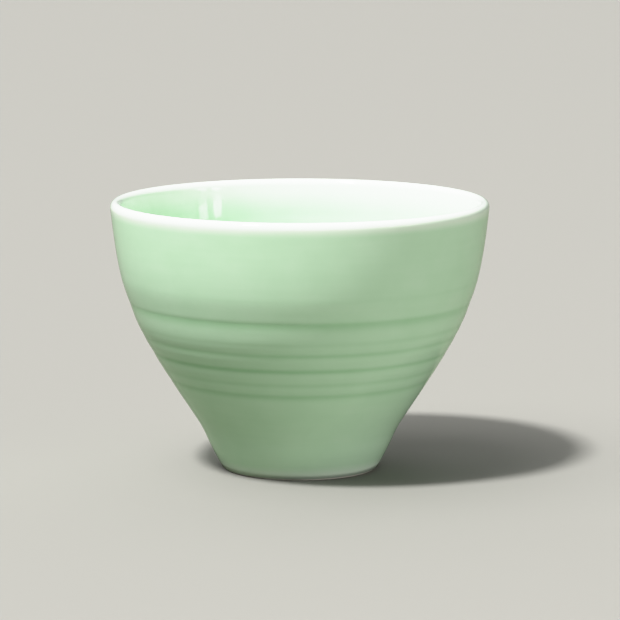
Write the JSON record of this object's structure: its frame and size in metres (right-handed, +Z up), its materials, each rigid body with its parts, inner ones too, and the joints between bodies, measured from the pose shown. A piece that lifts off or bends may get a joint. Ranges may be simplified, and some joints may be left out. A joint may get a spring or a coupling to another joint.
{
  "type": "rice bowl",
  "caption": "Deep glazed porcelain rice bowl that flares from a narrow turned foot to a plain rounded lip, with fine turned lines around the lower wall.",
  "frame": {"origin": "centre of the foot ring on the table plane", "axes": "+Z up along the bowl's axis of revolution; the bowl is round, so +X and +Y are free"},
  "size_m": [0.112, 0.112, 0.08],
  "materials": {
    "porcelain": "matte",
    "celadon": "gloss"
  },
  "bodies": {
    "root": {"porcelain_body": "porcelain", "celadon_glaze": "celadon", "foot_well_glaze": "celadon"}
  },
  "joints": []
}
